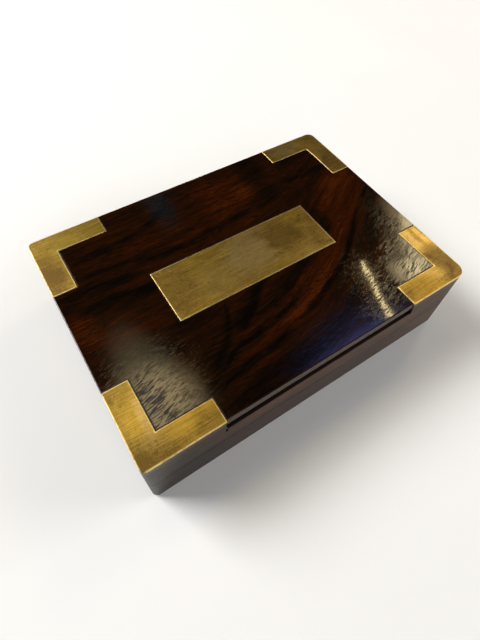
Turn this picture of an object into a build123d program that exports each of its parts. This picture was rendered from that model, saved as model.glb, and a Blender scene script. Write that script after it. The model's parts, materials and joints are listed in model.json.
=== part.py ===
from build123d import *
import math
import os

# Brass-bound hardwood box for two decks of playing cards.
# Row frame: origin at the middle of the underside, +X along the long side,
# +Y towards the hinges, +Z up.  The front, with the finger groove, faces -Y.
# All sizes are in millimetres.

# ---- driving dimensions -----------------------------------------------------
length = 152.0  # along X
width = 109.0  # along Y
height = 38.0  # underside of the baize to the top of the lid
wall = 6.5  # thickness of the eight side boards
top_t = 4.0  # lid top board
bottom_t = 4.0  # base bottom board
baize_t = 0.8  # baize under the base and felt linings inside
parting = 18.0  # height of the joint between lid and base
parting_gap = 0.10  # air between the closed rims

# Plan radius of each upright edge, softened by wear: (side, front/back)
corner_r = {(-1, -1): 2.4, (1, -1): 5.0, (-1, 1): 2.8, (1, 1): 3.6}
foot_r = 0.8  # rounding of the base's lower outer edge
rim_r = 0.15  # softened outer edge of both rims
arris_r = 0.35  # softened top edge of the lid

# Brass inlays
brass_t = 1.0
inlay_gap = 0.10  # seam between brass and wood
plate_x, plate_y = 31.5, 31.3  # outer size of an L-shaped corner plate
plate_arm = 9.9  # width of its arms
brass_edge_r = 0.18
plaque_x, plaque_y = 77.2, 26.0
plaque_at = (-0.4, 0.8)
inlay_pin_r, inlay_pin_len = 0.60, 3.2
inlay_pin_fit = 0.02

# Finger groove along the front edge of the lid, between the corner plates.
# Its ends lean: (x at the top of the lid, x at the groove's floor)
groove_left = (-45.4, -44.1)
groove_right = (44.5, 46.4)
lip_back = 0.4  # set-back of the lid's front edge
lip_r = 0.5  # worn by thumbs
lip_h = 4.5  # from the top of the lid down to the channel
groove_back = 3.1  # depth of the channel below the lip
groove_h = 8.45  # from the top of the lid down to the channel's floor
nick = (-44.9, -43.9, 2.0, 0.9)  # chisel overrun: x from, x to, drop, depth

# Hinges: two butts with the pin line just inside the back, and a V-shaped
# stop chamfer along the back that stops the lid at 100 degrees
knuckle_r = 1.5
hinge_pin_r = 0.75
hinge_run = 0.05  # radial clearance of the turning knuckles
pin_y = width / 2 - 1.7
pin_z = parting
stop_angle = 50.0
hinge_x = {"left": -46.0, "right": 46.0}
hinge_len = 24.0
knuckle_gap = 0.10
knuckle_room = 0.25  # air round the knuckles in the wood
leaf_t = 1.0
leaf_in = 48.3  # inner edge of the leaves
screw_dx = 7.6  # screws from the middle of the hinge
screw_y = 49.9
screw_r, screw_head_r, screw_len = 0.50, 1.00, 5.0
screw_fit = 0.05
slot_w, slot_d = 0.28, 0.30

# Inside of the base
liner_t = 2.0
liner_up = 3.9  # liner standing above the rim
liner_air = 0.3  # air between the liner and the lid
divider_t = 4.0
scoop_w, scoop_floor, scoop_r = 34.0, 12.0, 7.0
felt_gap = 0.15

# ---- derived ----------------------------------------------------------------
lx, ly = length / 2, width / 2
ix, iy = lx - wall, ly - wall
base_top = parting - parting_gap / 2
lid_bottom = parting + parting_gap / 2
board_z = height - top_t
inlay_z = height - brass_t
floor_z = baize_t + bottom_t
liner_top = base_top + liner_up
well_x, well_y = ix - liner_t, iy - liner_t
knuckle_len = (hinge_len - 4 * knuckle_gap) / 5

plate_corners = {
    "corner_plate_front_left": (-1, -1),
    "corner_plate_front_right": (1, -1),
    "corner_plate_back_left": (-1, 1),
    "corner_plate_back_right": (1, 1),
}
pieces = {}


# ---- helpers, each adding to the part in hand --------------------------------
def box_plan(z, inset=0.0):
    """Plan of the box at height z, with its own radius at each corner."""
    with BuildSketch(Plane.XY.offset(z)) as plan:
        Rectangle(length - 2 * inset, width - 2 * inset)
        for (sx, sy), radius in corner_r.items():
            corner = (sx * (lx - inset), sy * (ly - inset), 0)
            vertex = plan.vertices().sort_by_distance(corner)[0]
            fillet(vertex, max(radius - inset, 0.6))
    return plan.sketch


def plate_plan(z, sx, sy, grow=0.0):
    """L-shaped corner plate; grow widens it on its inner sides only."""
    px, py, arm = plate_x + grow, plate_y + grow, plate_arm + grow
    with BuildSketch(Plane.XY.offset(z)) as plan:
        with BuildLine():
            Polyline(
                (sx * lx, sy * ly),
                (sx * (lx - px), sy * ly),
                (sx * (lx - px), sy * (ly - arm)),
                (sx * (lx - arm), sy * (ly - arm)),
                (sx * (lx - arm), sy * (ly - py)),
                (sx * lx, sy * (ly - py)),
                close=True,
            )
        make_face()
        vertex = plan.vertices().sort_by_distance((sx * lx, sy * ly, 0))[0]
        fillet(vertex, corner_r[(sx, sy)])
    return plan.sketch


def slab(x0, x1, y0, y1, z0, z1, mode=Mode.ADD):
    """Upright block between two corners."""
    with BuildSketch(Plane.XY.offset(z0)) as plan:
        with Locations(((x0 + x1) / 2, (y0 + y1) / 2)):
            Rectangle(x1 - x0, y1 - y0)
    extrude(plan.sketch, amount=z1 - z0, mode=mode)


def prism_x(points, x0, x1, mode=Mode.ADD):
    """Closed (y, z) profile run along +X."""
    with BuildSketch(Plane.YZ.offset(x0)) as profile:
        with BuildLine():
            Polyline(*points, close=True)
        make_face()
    extrude(profile.sketch, amount=x1 - x0, mode=mode)


def prism_y(points, y0, y1, mode=Mode.ADD):
    """Closed (x, z) profile run along +Y."""
    with BuildSketch(Plane.XZ.offset(-y0)) as profile:
        with BuildLine():
            Polyline(*points, close=True)
        make_face()
    extrude(profile.sketch, amount=-(y1 - y0), mode=mode)


def rod_x(radius, x0, x1, mode=Mode.ADD):
    """Round bar on the hinge line."""
    with BuildSketch(Plane.YZ.offset(x0)) as section:
        with Locations((pin_y, pin_z)):
            Circle(radius)
    extrude(section.sketch, amount=x1 - x0, mode=mode)


def groove_ends(z):
    """Left and right ends of the finger groove at height z."""
    t = (height - z) / groove_h
    return (
        groove_left[0] + t * (groove_left[1] - groove_left[0]),
        groove_right[0] + t * (groove_right[1] - groove_right[0]),
    )


def cut_groove(z0, z1, depth):
    """Front pocket between two heights, with the groove's leaning ends."""
    (a0, b0), (a1, b1) = groove_ends(z0), groove_ends(z1)
    outline = [(a0, z0), (b0, z0), (b1, z1), (a1, z1)]
    prism_y(outline, -ly - 1, -ly + depth, mode=Mode.SUBTRACT)


def cut_stop_chamfer(up):
    """Half of the V along the back, above or below the joint."""
    sign = 1 if up else -1
    z = lid_bottom if up else base_top
    run = ly + 1 - pin_y
    rise = sign * run * math.tan(math.radians(stop_angle))
    outline = [
        (pin_y, z),
        (ly + 1, z + rise),
        (ly + 1, z - sign),
        (pin_y, z - sign),
    ]
    prism_x(outline, -lx - 1, lx + 1, mode=Mode.SUBTRACT)


def screw_spots(cx):
    return [(cx - screw_dx, screw_y), (cx + screw_dx, screw_y)]


def cut_hinge_rooms(up):
    """Mortise, knuckle room and pilot holes for both hinges in a back wall."""
    z0 = lid_bottom - 1 if up else base_top - leaf_t
    half = hinge_len / 2
    for cx in hinge_x.values():
        slab(
            cx - half,
            cx + half,
            leaf_in,
            pin_y,
            z0,
            z0 + leaf_t + 1,
            mode=Mode.SUBTRACT,
        )
        room = knuckle_r + knuckle_room
        rod_x(room, cx - half - 0.2, cx + half + 0.2, mode=Mode.SUBTRACT)
        seat = lid_bottom + leaf_t if up else base_top - leaf_t
        reach = screw_len - leaf_t + 0.3
        with BuildSketch(Plane.XY.offset(seat)) as pilots:
            with Locations(*screw_spots(cx)):
                Circle(screw_r + screw_fit)
        depth = reach if up else -reach
        extrude(pilots.sketch, amount=depth, mode=Mode.SUBTRACT)


def base_ring(builder):
    """Outer body of the base, before it is divided into boards."""
    extrude(box_plan(baize_t), amount=base_top - baize_t)
    fillet(builder.edges().group_by(Axis.Z)[0], foot_r)
    fillet(builder.edges().group_by(Axis.Z)[-1], rim_r)


def lid_ring(builder):
    """Outer body of the lid below its top board."""
    extrude(box_plan(lid_bottom), amount=board_z - lid_bottom)
    fillet(builder.edges().group_by(Axis.Z)[0], rim_r)


def plate_pin_spots(sx, sy):
    """Three pins: one in the corner and one near the end of each arm."""
    mid = plate_arm / 2
    return [
        (sx * (lx - mid), sy * (ly - mid)),
        (sx * (lx - plate_x + 3.6), sy * (ly - mid)),
        (sx * (lx - mid), sy * (ly - plate_y + 3.6)),
    ]


plaque_pin_spots = [
    (
        plaque_at[0] + i * (plaque_x / 2 - 3.2),
        plaque_at[1] + j * (plaque_y / 2 - 3.2),
    )
    for i in (-1, 1)
    for j in (-1, 1)
]
all_plate_pins = [
    spot for sx, sy in plate_corners.values() for spot in plate_pin_spots(sx, sy)
]

os.makedirs("parts", exist_ok=True)

# ---- lid: top board with its inlay pockets and the set-back front lip ---------
with BuildPart() as lid_top_board:
    extrude(box_plan(board_z), amount=top_t)
    fillet(lid_top_board.edges().group_by(Axis.Z)[-1], arris_r)
    cut_groove(board_z - 1, height + 1, lip_back)
    lip_y = -ly + lip_back
    lip_edges = (
        lid_top_board.edges()
        .filter_by(Axis.X)
        .filter_by_position(Axis.Y, lip_y - 0.01, lip_y + 0.01)
        .filter_by_position(Axis.Z, height - 0.01, height + 0.01)
    )
    fillet(lip_edges, lip_r)
    for sx, sy in plate_corners.values():
        pocket = plate_plan(inlay_z, sx, sy, grow=inlay_gap)
        extrude(pocket, amount=brass_t + 1, mode=Mode.SUBTRACT)
        # shadow line where the plate's outer rim stands off the wood
        line = 0.45 if (sx, sy) == (1, -1) else 0.22
        seat = lid_top_board.faces().filter_by_position(
            Axis.Z, inlay_z - 0.01, inlay_z + 0.01
        )
        seat = seat.sort_by_distance((sx * lx, sy * ly, inlay_z))[0]
        rim = [
            e
            for e in seat.edges()
            if abs(abs((e @ 0.5).X) - lx) < 0.01
            or abs(abs((e @ 0.5).Y) - ly) < 0.01
            or e.geom_type == GeomType.CIRCLE
        ]
        chamfer(rim, line)
    with BuildSketch(Plane.XY.offset(inlay_z)):
        with Locations(plaque_at):
            Rectangle(plaque_x + 2 * inlay_gap, plaque_y + 2 * inlay_gap)
    extrude(amount=brass_t + 1, mode=Mode.SUBTRACT)
    with BuildSketch(Plane.XY.offset(height - inlay_pin_len)):
        with Locations(*all_plate_pins, *plaque_pin_spots):
            Circle(inlay_pin_r + inlay_pin_fit)
    extrude(amount=inlay_pin_len, mode=Mode.SUBTRACT)
pieces["lid_top_board"] = lid_top_board

# ---- lid: four side boards ------------------------------------------------------
with BuildPart() as lid_front_wall:
    lid_ring(lid_front_wall)
    slab(-ix, ix, -ly, -iy, lid_bottom, board_z, mode=Mode.INTERSECT)
    lip_z = height - lip_h
    cut_groove(lip_z, board_z + 1, lip_back)
    cut_groove(height - groove_h, lip_z, groove_back)
    under = (
        lid_front_wall.edges()
        .filter_by(Axis.X)
        .filter_by_position(Axis.Z, lip_z - 0.01, lip_z + 0.01)
        .sort_by(Axis.Y)
    )
    fillet(under[0], 0.3)
    floor = height - groove_h
    back = (
        lid_front_wall.edges()
        .filter_by(Axis.X)
        .filter_by_position(Axis.Z, floor - 0.01, floor + 0.01)
        .sort_by(Axis.Y)
    )
    fillet(back[-1], 0.9)
    fillet(back[0], 0.3)
    # overrun of the chisel at the groove's left end
    slab(
        nick[0],
        nick[1],
        -ly - 1,
        -ly + nick[3],
        floor - nick[2],
        floor + 0.5,
        mode=Mode.SUBTRACT,
    )
pieces["lid_front_wall"] = lid_front_wall

with BuildPart() as lid_back_wall:
    lid_ring(lid_back_wall)
    slab(-ix, ix, iy, ly, lid_bottom, board_z, mode=Mode.INTERSECT)
    cut_stop_chamfer(up=True)
    cut_hinge_rooms(up=True)
pieces["lid_back_wall"] = lid_back_wall

with BuildPart() as lid_left_wall:
    lid_ring(lid_left_wall)
    slab(-lx, -ix, -ly, ly, lid_bottom, board_z, mode=Mode.INTERSECT)
    cut_stop_chamfer(up=True)
pieces["lid_left_wall"] = lid_left_wall

with BuildPart() as lid_right_wall:
    lid_ring(lid_right_wall)
    slab(ix, lx, -ly, ly, lid_bottom, board_z, mode=Mode.INTERSECT)
    cut_stop_chamfer(up=True)
pieces["lid_right_wall"] = lid_right_wall

# ---- lid: brass inlays, filed flush with the wood --------------------------------
for name, (sx, sy) in plate_corners.items():
    with BuildPart() as corner_plate:
        extrude(plate_plan(inlay_z, sx, sy), amount=brass_t)
        fillet(corner_plate.edges().group_by(Axis.Z)[-1], brass_edge_r)
        with BuildSketch(Plane.XY.offset(inlay_z)):
            with Locations(*plate_pin_spots(sx, sy)):
                Circle(inlay_pin_r + inlay_pin_fit)
        extrude(amount=brass_t, mode=Mode.SUBTRACT)
    pieces[name] = corner_plate

with BuildPart() as name_plaque:
    with BuildSketch(Plane.XY.offset(inlay_z)):
        with Locations(plaque_at):
            Rectangle(plaque_x, plaque_y)
    extrude(amount=brass_t)
    fillet(name_plaque.edges().group_by(Axis.Z)[-1], brass_edge_r)
    with BuildSketch(Plane.XY.offset(inlay_z)):
        with Locations(*plaque_pin_spots):
            Circle(inlay_pin_r + inlay_pin_fit)
    extrude(amount=brass_t, mode=Mode.SUBTRACT)
pieces["name_plaque"] = name_plaque

with BuildPart() as corner_plate_pins:
    with BuildSketch(Plane.XY.offset(height - inlay_pin_len)):
        with Locations(*all_plate_pins):
            Circle(inlay_pin_r)
    extrude(amount=inlay_pin_len)
pieces["corner_plate_pins"] = corner_plate_pins

with BuildPart() as plaque_pins:
    with BuildSketch(Plane.XY.offset(height - inlay_pin_len)):
        with Locations(*plaque_pin_spots):
            Circle(inlay_pin_r)
    extrude(amount=inlay_pin_len)
pieces["plaque_pins"] = plaque_pins

with BuildPart() as lid_lining:
    edge = felt_gap
    slab(-ix + edge, ix - edge, -iy + edge, iy - edge, board_z - baize_t, board_z)
pieces["lid_lining"] = lid_lining

# ---- base: four side boards, bottom board and baize -------------------------------
with BuildPart() as base_front_wall:
    base_ring(base_front_wall)
    slab(-ix, ix, -ly, -iy, baize_t, base_top, mode=Mode.INTERSECT)
pieces["base_front_wall"] = base_front_wall

with BuildPart() as base_back_wall:
    base_ring(base_back_wall)
    slab(-ix, ix, iy, ly, baize_t, base_top, mode=Mode.INTERSECT)
    cut_stop_chamfer(up=False)
    cut_hinge_rooms(up=False)
pieces["base_back_wall"] = base_back_wall

with BuildPart() as base_left_wall:
    base_ring(base_left_wall)
    slab(-lx, -ix, -ly, ly, baize_t, base_top, mode=Mode.INTERSECT)
    cut_stop_chamfer(up=False)
pieces["base_left_wall"] = base_left_wall

with BuildPart() as base_right_wall:
    base_ring(base_right_wall)
    slab(ix, lx, -ly, ly, baize_t, base_top, mode=Mode.INTERSECT)
    cut_stop_chamfer(up=False)
pieces["base_right_wall"] = base_right_wall

with BuildPart() as base_bottom_board:
    slab(-ix, ix, -iy, iy, baize_t, floor_z)
pieces["base_bottom_board"] = base_bottom_board

with BuildPart() as underside_baize:
    extrude(box_plan(0, inset=1.4), amount=baize_t)
pieces["underside_baize"] = underside_baize

# ---- base: liners that stand above the rim and locate the lid -----------------------
step_z = base_top - 0.3
for name, sy in {"liner_front": -1, "liner_back": 1}.items():
    with BuildPart() as liner:
        outline = [
            (sy * iy, floor_z),
            (sy * iy, step_z),
            (sy * (iy - liner_air), step_z),
            (sy * (iy - liner_air), liner_top),
            (sy * well_y, liner_top),
            (sy * well_y, floor_z),
        ]
        prism_x(outline, -well_x, well_x)
        top = liner.edges().filter_by(Axis.X).group_by(Axis.Z)[-1]
        fillet(top, 0.5)
    pieces[name] = liner

for name, sx in {"liner_left": -1, "liner_right": 1}.items():
    with BuildPart() as liner:
        outline = [
            (sx * ix, floor_z),
            (sx * ix, step_z),
            (sx * (ix - liner_air), step_z),
            (sx * (ix - liner_air), liner_top),
            (sx * well_x, liner_top),
            (sx * well_x, floor_z),
        ]
        prism_y(outline, -iy, iy)
        for sy in (-1, 1):
            y0, y1 = sorted((sy * (iy - liner_air), sy * (iy + 1)))
            slab(-lx, lx, y0, y1, step_z, liner_top + 1, mode=Mode.SUBTRACT)
        top = liner.edges().filter_by(Axis.Y).group_by(Axis.Z)[-1]
        fillet(top, 0.5)
    pieces[name] = liner

with BuildPart() as card_divider:
    half = divider_t / 2
    slab(-half, half, -well_y, well_y, floor_z, liner_top)
    top = card_divider.edges().filter_by(Axis.Y).group_by(Axis.Z)[-1]
    fillet(top, 0.9)
    with BuildSketch(Plane.YZ.offset(-divider_t)) as scoop:
        mid_z = (scoop_floor + liner_top + scoop_w) / 2
        with Locations((0, mid_z)):
            Rectangle(scoop_w, liner_top + scoop_w - scoop_floor)
        fillet(scoop.vertices().group_by(Axis.Z)[0], scoop_r)
    extrude(amount=2 * divider_t, mode=Mode.SUBTRACT)
pieces["card_divider"] = card_divider

for name, sx in {"well_felt_left": -1, "well_felt_right": 1}.items():
    with BuildPart() as felt:
        x0, x1 = sorted(
            (sx * (divider_t / 2 + felt_gap), sx * (well_x - felt_gap))
        )
        y = well_y - felt_gap
        slab(x0, x1, -y, y, floor_z, floor_z + baize_t)
    pieces[name] = felt

# ---- hinges ---------------------------------------------------------------------------
for side, cx in hinge_x.items():
    first = cx - hinge_len / 2
    pitch = knuckle_len + knuckle_gap
    for owner, up in {"base": False, "lid": True}.items():
        own = (1, 3) if up else (0, 2, 4)
        other = (0, 2, 4) if up else (1, 3)
        z0 = lid_bottom if up else base_top - leaf_t
        with BuildPart() as leaf:
            slab(first, first + hinge_len, leaf_in, pin_y - 0.9, z0, z0 + leaf_t)
            for k in other:
                x0 = first + k * pitch
                slab(
                    x0 - knuckle_gap,
                    x0 + knuckle_len + knuckle_gap,
                    pin_y - knuckle_r - 0.15,
                    pin_y,
                    z0 - 1,
                    z0 + leaf_t + 1,
                    mode=Mode.SUBTRACT,
                )
            for k in own:
                x0 = first + k * pitch
                rod_x(knuckle_r, x0, x0 + knuckle_len)
            bore = hinge_pin_r + (hinge_run if up else 0)
            rod_x(bore, first - 1, first + hinge_len + 1, mode=Mode.SUBTRACT)
            flip = 180 if up else 0
            face_z = lid_bottom if up else base_top
            seats = [
                Location((x, y, face_z), (flip, 0, 0)) for x, y in screw_spots(cx)
            ]
            with Locations(*seats):
                CounterSinkHole(
                    radius=screw_r + screw_fit,
                    counter_sink_radius=screw_head_r + screw_fit,
                    depth=leaf_t + 1,
                    counter_sink_angle=90,
                )
        pieces[f"hinge_{side}_{owner}_leaf"] = leaf

    with BuildPart() as hinge_pin:
        rod_x(hinge_pin_r, first, first + hinge_len)
        fillet(hinge_pin.edges().filter_by(GeomType.CIRCLE), 0.2)
    pieces[f"hinge_{side}_pin"] = hinge_pin

for owner, up in {"base": False, "lid": True}.items():
    flip = 180 if up else 0
    face_z = lid_bottom if up else base_top
    sink = 0.03
    with BuildPart() as screws:
        for n, (x, y) in enumerate(
            spot for cx in hinge_x.values() for spot in screw_spots(cx)
        ):
            turn = (35, -20, 70, 5)[n]
            z = face_z + (sink if up else -sink)
            with Locations(Location((x, y, z), (flip, 0, turn))):
                Cylinder(
                    screw_r, screw_len, align=(Align.CENTER, Align.CENTER, Align.MAX)
                )
                Cone(
                    screw_r,
                    screw_head_r,
                    screw_head_r - screw_r,
                    align=(Align.CENTER, Align.CENTER, Align.MAX),
                )
                Box(
                    3 * screw_head_r,
                    slot_w,
                    slot_d,
                    align=(Align.CENTER, Align.CENTER, Align.MAX),
                    mode=Mode.SUBTRACT,
                )
    pieces[f"hinge_screws_{owner}"] = screws

# ---- one STEP per piece ------------------------------------------------------------------
for name, piece in pieces.items():
    piece.part.label = name
    export_step(piece.part, f"parts/{name}.step")
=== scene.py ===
import json
import math
import random

import bmesh
import bpy
from mathutils import Matrix, Vector

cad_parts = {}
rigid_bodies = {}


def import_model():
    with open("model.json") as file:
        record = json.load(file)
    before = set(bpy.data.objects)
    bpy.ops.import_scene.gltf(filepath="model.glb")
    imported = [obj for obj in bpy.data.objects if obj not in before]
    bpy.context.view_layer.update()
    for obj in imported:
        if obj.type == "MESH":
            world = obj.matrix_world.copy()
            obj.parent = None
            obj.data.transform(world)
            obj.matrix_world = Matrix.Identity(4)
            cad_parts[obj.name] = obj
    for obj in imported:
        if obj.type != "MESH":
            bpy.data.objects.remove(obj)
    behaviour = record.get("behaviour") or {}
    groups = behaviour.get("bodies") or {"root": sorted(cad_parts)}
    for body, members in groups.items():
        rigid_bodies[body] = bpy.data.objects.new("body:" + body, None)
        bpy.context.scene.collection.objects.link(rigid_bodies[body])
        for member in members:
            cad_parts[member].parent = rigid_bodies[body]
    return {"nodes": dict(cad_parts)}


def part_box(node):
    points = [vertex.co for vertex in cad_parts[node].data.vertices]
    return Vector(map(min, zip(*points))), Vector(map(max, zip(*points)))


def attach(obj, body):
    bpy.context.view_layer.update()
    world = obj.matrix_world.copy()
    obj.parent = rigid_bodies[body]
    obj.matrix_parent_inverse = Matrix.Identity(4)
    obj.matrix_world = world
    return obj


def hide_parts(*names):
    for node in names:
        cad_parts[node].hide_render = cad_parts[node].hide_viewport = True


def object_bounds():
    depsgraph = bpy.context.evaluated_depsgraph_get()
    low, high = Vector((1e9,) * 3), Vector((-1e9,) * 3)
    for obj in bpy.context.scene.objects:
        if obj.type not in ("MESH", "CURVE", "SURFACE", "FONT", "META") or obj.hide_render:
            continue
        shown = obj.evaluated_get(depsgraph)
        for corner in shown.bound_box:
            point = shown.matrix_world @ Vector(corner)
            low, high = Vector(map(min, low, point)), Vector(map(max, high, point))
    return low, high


for o in list(bpy.data.objects):
    bpy.data.objects.remove(o, do_unlink=True)
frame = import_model()
cad_lo, cad_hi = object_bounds()
nodes = frame["nodes"]
MM = 0.001
random.seed(7)

# --------------------------------------------------------------------------
# A short way to write shader nodes.  Sockets and plain numbers both go in.
# --------------------------------------------------------------------------
class Net:
    def __init__(self, name):
        self.mat = bpy.data.materials.new(name)
        self.mat.use_nodes = True
        self.t = self.mat.node_tree
        self.t.nodes.clear()
        self.out = self.t.nodes.new("ShaderNodeOutputMaterial")

    def put(self, socket, value):
        if hasattr(value, "is_linked") or hasattr(value, "links"):
            self.t.links.new(value, socket)
        else:
            socket.default_value = value

    def m(self, op, a, b=0.0, c=0.0, clamp=False):
        n = self.t.nodes.new("ShaderNodeMath")
        n.operation = op
        n.use_clamp = clamp
        for i, v in enumerate((a, b, c)):
            self.put(n.inputs[i], v)
        return n.outputs[0]

    def add(self, a, b): return self.m("ADD", a, b)
    def sub(self, a, b): return self.m("SUBTRACT", a, b)
    def mul(self, a, b): return self.m("MULTIPLY", a, b)
    def mad(self, a, b, c): return self.m("MULTIPLY_ADD", a, b, c)
    def absv(self, a): return self.m("ABSOLUTE", a)
    def mx(self, a, b): return self.m("MAXIMUM", a, b)
    def mn(self, a, b): return self.m("MINIMUM", a, b)

    def place(self):
        """Row-frame position in millimetres: (vector, x, y, z)."""
        c = self.t.nodes.new("ShaderNodeTexCoord")
        v = self.t.nodes.new("ShaderNodeVectorMath")
        v.operation = "SCALE"
        self.t.links.new(c.outputs["Object"], v.inputs[0])
        v.inputs["Scale"].default_value = 1000.0
        s = self.t.nodes.new("ShaderNodeSeparateXYZ")
        self.t.links.new(v.outputs[0], s.inputs[0])
        return v.outputs[0], s.outputs[0], s.outputs[1], s.outputs[2]

    def vec(self, x, y, z):
        n = self.t.nodes.new("ShaderNodeCombineXYZ")
        for i, v in enumerate((x, y, z)):
            self.put(n.inputs[i], v)
        return n.outputs[0]

    def noise(self, vec, scale=1.0, detail=2.0, rough=0.5, dist=0.0, colour=False):
        n = self.t.nodes.new("ShaderNodeTexNoise")
        self.t.links.new(vec, n.inputs["Vector"])
        n.inputs["Scale"].default_value = scale
        n.inputs["Detail"].default_value = detail
        n.inputs["Roughness"].default_value = rough
        n.inputs["Distortion"].default_value = dist
        return n.outputs["Color" if colour else "Fac"]

    def voronoi(self, vec, scale=1.0, feature="F1"):
        n = self.t.nodes.new("ShaderNodeTexVoronoi")
        n.feature = feature
        self.t.links.new(vec, n.inputs["Vector"])
        n.inputs["Scale"].default_value = scale
        return n.outputs["Distance"]

    def remap(self, v, a, b, c=0.0, d=1.0, smooth=True):
        n = self.t.nodes.new("ShaderNodeMapRange")
        n.interpolation_type = "SMOOTHSTEP" if smooth else "LINEAR"
        self.put(n.inputs["Value"], v)
        for k, x in zip(("From Min", "From Max", "To Min", "To Max"), (a, b, c, d)):
            self.put(n.inputs[k], x)
        return n.outputs[0]

    def ramp(self, v, stops, interp="LINEAR"):
        n = self.t.nodes.new("ShaderNodeValToRGB")
        n.color_ramp.interpolation = interp
        e = n.color_ramp.elements
        while len(e) > 1:
            e.remove(e[-1])
        e[0].position = stops[0][0]
        e[0].color = (*stops[0][1], 1)
        for p, c in stops[1:]:
            x = e.new(p)
            x.color = (*c, 1)
        self.put(n.inputs[0], v)
        return n.outputs[0]

    def curve(self, v, points):
        """Plain curve through (input, output) points, both 0 to 1."""
        n = self.t.nodes.new("ShaderNodeFloatCurve")
        c = n.mapping.curves[0]
        pts = sorted(points)
        while len(c.points) < len(pts):
            c.points.new(0.5, 0.5)
        for p, (a, b) in zip(c.points, pts):
            p.location = (a, b)
        n.mapping.extend = "HORIZONTAL"
        n.mapping.use_clip = False
        n.mapping.update()
        self.put(n.inputs["Value"], v)
        return n.outputs[0]

    def mix(self, f, a, b, mode="MIX"):
        n = self.t.nodes.new("ShaderNodeMix")
        n.data_type = "RGBA"
        n.blend_type = mode
        n.clamp_factor = True
        self.put(n.inputs["Factor"], f)
        for k, v in (("A", a), ("B", b)):
            s = [i for i in n.inputs if i.name == k and i.type == "RGBA"][0]
            self.put(s, (*v, 1) if isinstance(v, tuple) and len(v) == 3 else v)
        return [o for o in n.outputs if o.type == "RGBA"][0]

    def blob(self, x, y, cx, cy, rx, ry, turn=0.0):
        """1 at (cx, cy), falling smoothly to 0 at the ellipse's edge."""
        c, s = math.cos(math.radians(turn)), math.sin(math.radians(turn))
        dx, dy = self.sub(x, cx), self.sub(y, cy)
        u = self.mul(self.add(self.mul(dx, c), self.mul(dy, s)), 1 / rx)
        v = self.mul(self.sub(self.mul(dy, c), self.mul(dx, s)), 1 / ry)
        r2 = self.add(self.mul(u, u), self.mul(v, v))
        return self.remap(r2, 1.0, 0.0)

    def bump(self, height, strength, distance_mm, normal=None):
        n = self.t.nodes.new("ShaderNodeBump")
        n.inputs["Strength"].default_value = strength
        n.inputs["Distance"].default_value = distance_mm * MM
        self.put(n.inputs["Height"], height)
        if normal is not None:
            self.t.links.new(normal, n.inputs["Normal"])
        return n.outputs[0]

    def principled(self, **kw):
        n = self.t.nodes.new("ShaderNodeBsdfPrincipled")
        for k, v in kw.items():
            self.put(n.inputs[k.replace("_", " ")], v)
        self.t.links.new(n.outputs[0], self.out.inputs[0])
        return n


# --------------------------------------------------------------------------
# Wood
# --------------------------------------------------------------------------
ROSEWOOD = [
    (0.00, (0.0020, 0.0011, 0.0006)),
    (0.20, (0.0040, 0.0018, 0.0007)),
    (0.38, (0.0078, 0.0028, 0.0007)),
    (0.54, (0.0130, 0.0036, 0.0006)),
    (0.68, (0.0205, 0.0040, 0.0004)),
    (0.84, (0.0320, 0.0062, 0.0005)),
    (1.00, (0.0460, 0.0098, 0.0009)),
]
WALL = [
    (0.00, (0.0085, 0.0034, 0.0016)),
    (0.25, (0.0210, 0.0082, 0.0034)),
    (0.45, (0.0400, 0.0155, 0.0060)),
    (0.62, (0.0610, 0.0245, 0.0092)),
    (0.80, (0.0860, 0.0360, 0.0135)),
    (1.00, (0.1180, 0.0530, 0.0210)),
]
MAHOGANY = [
    (0.00, (0.030, 0.0100, 0.0030)),
    (0.35, (0.085, 0.0290, 0.0085)),
    (0.60, (0.160, 0.0600, 0.0190)),
    (0.85, (0.250, 0.1050, 0.0380)),
    (1.00, (0.320, 0.1500, 0.0600)),
]


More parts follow.
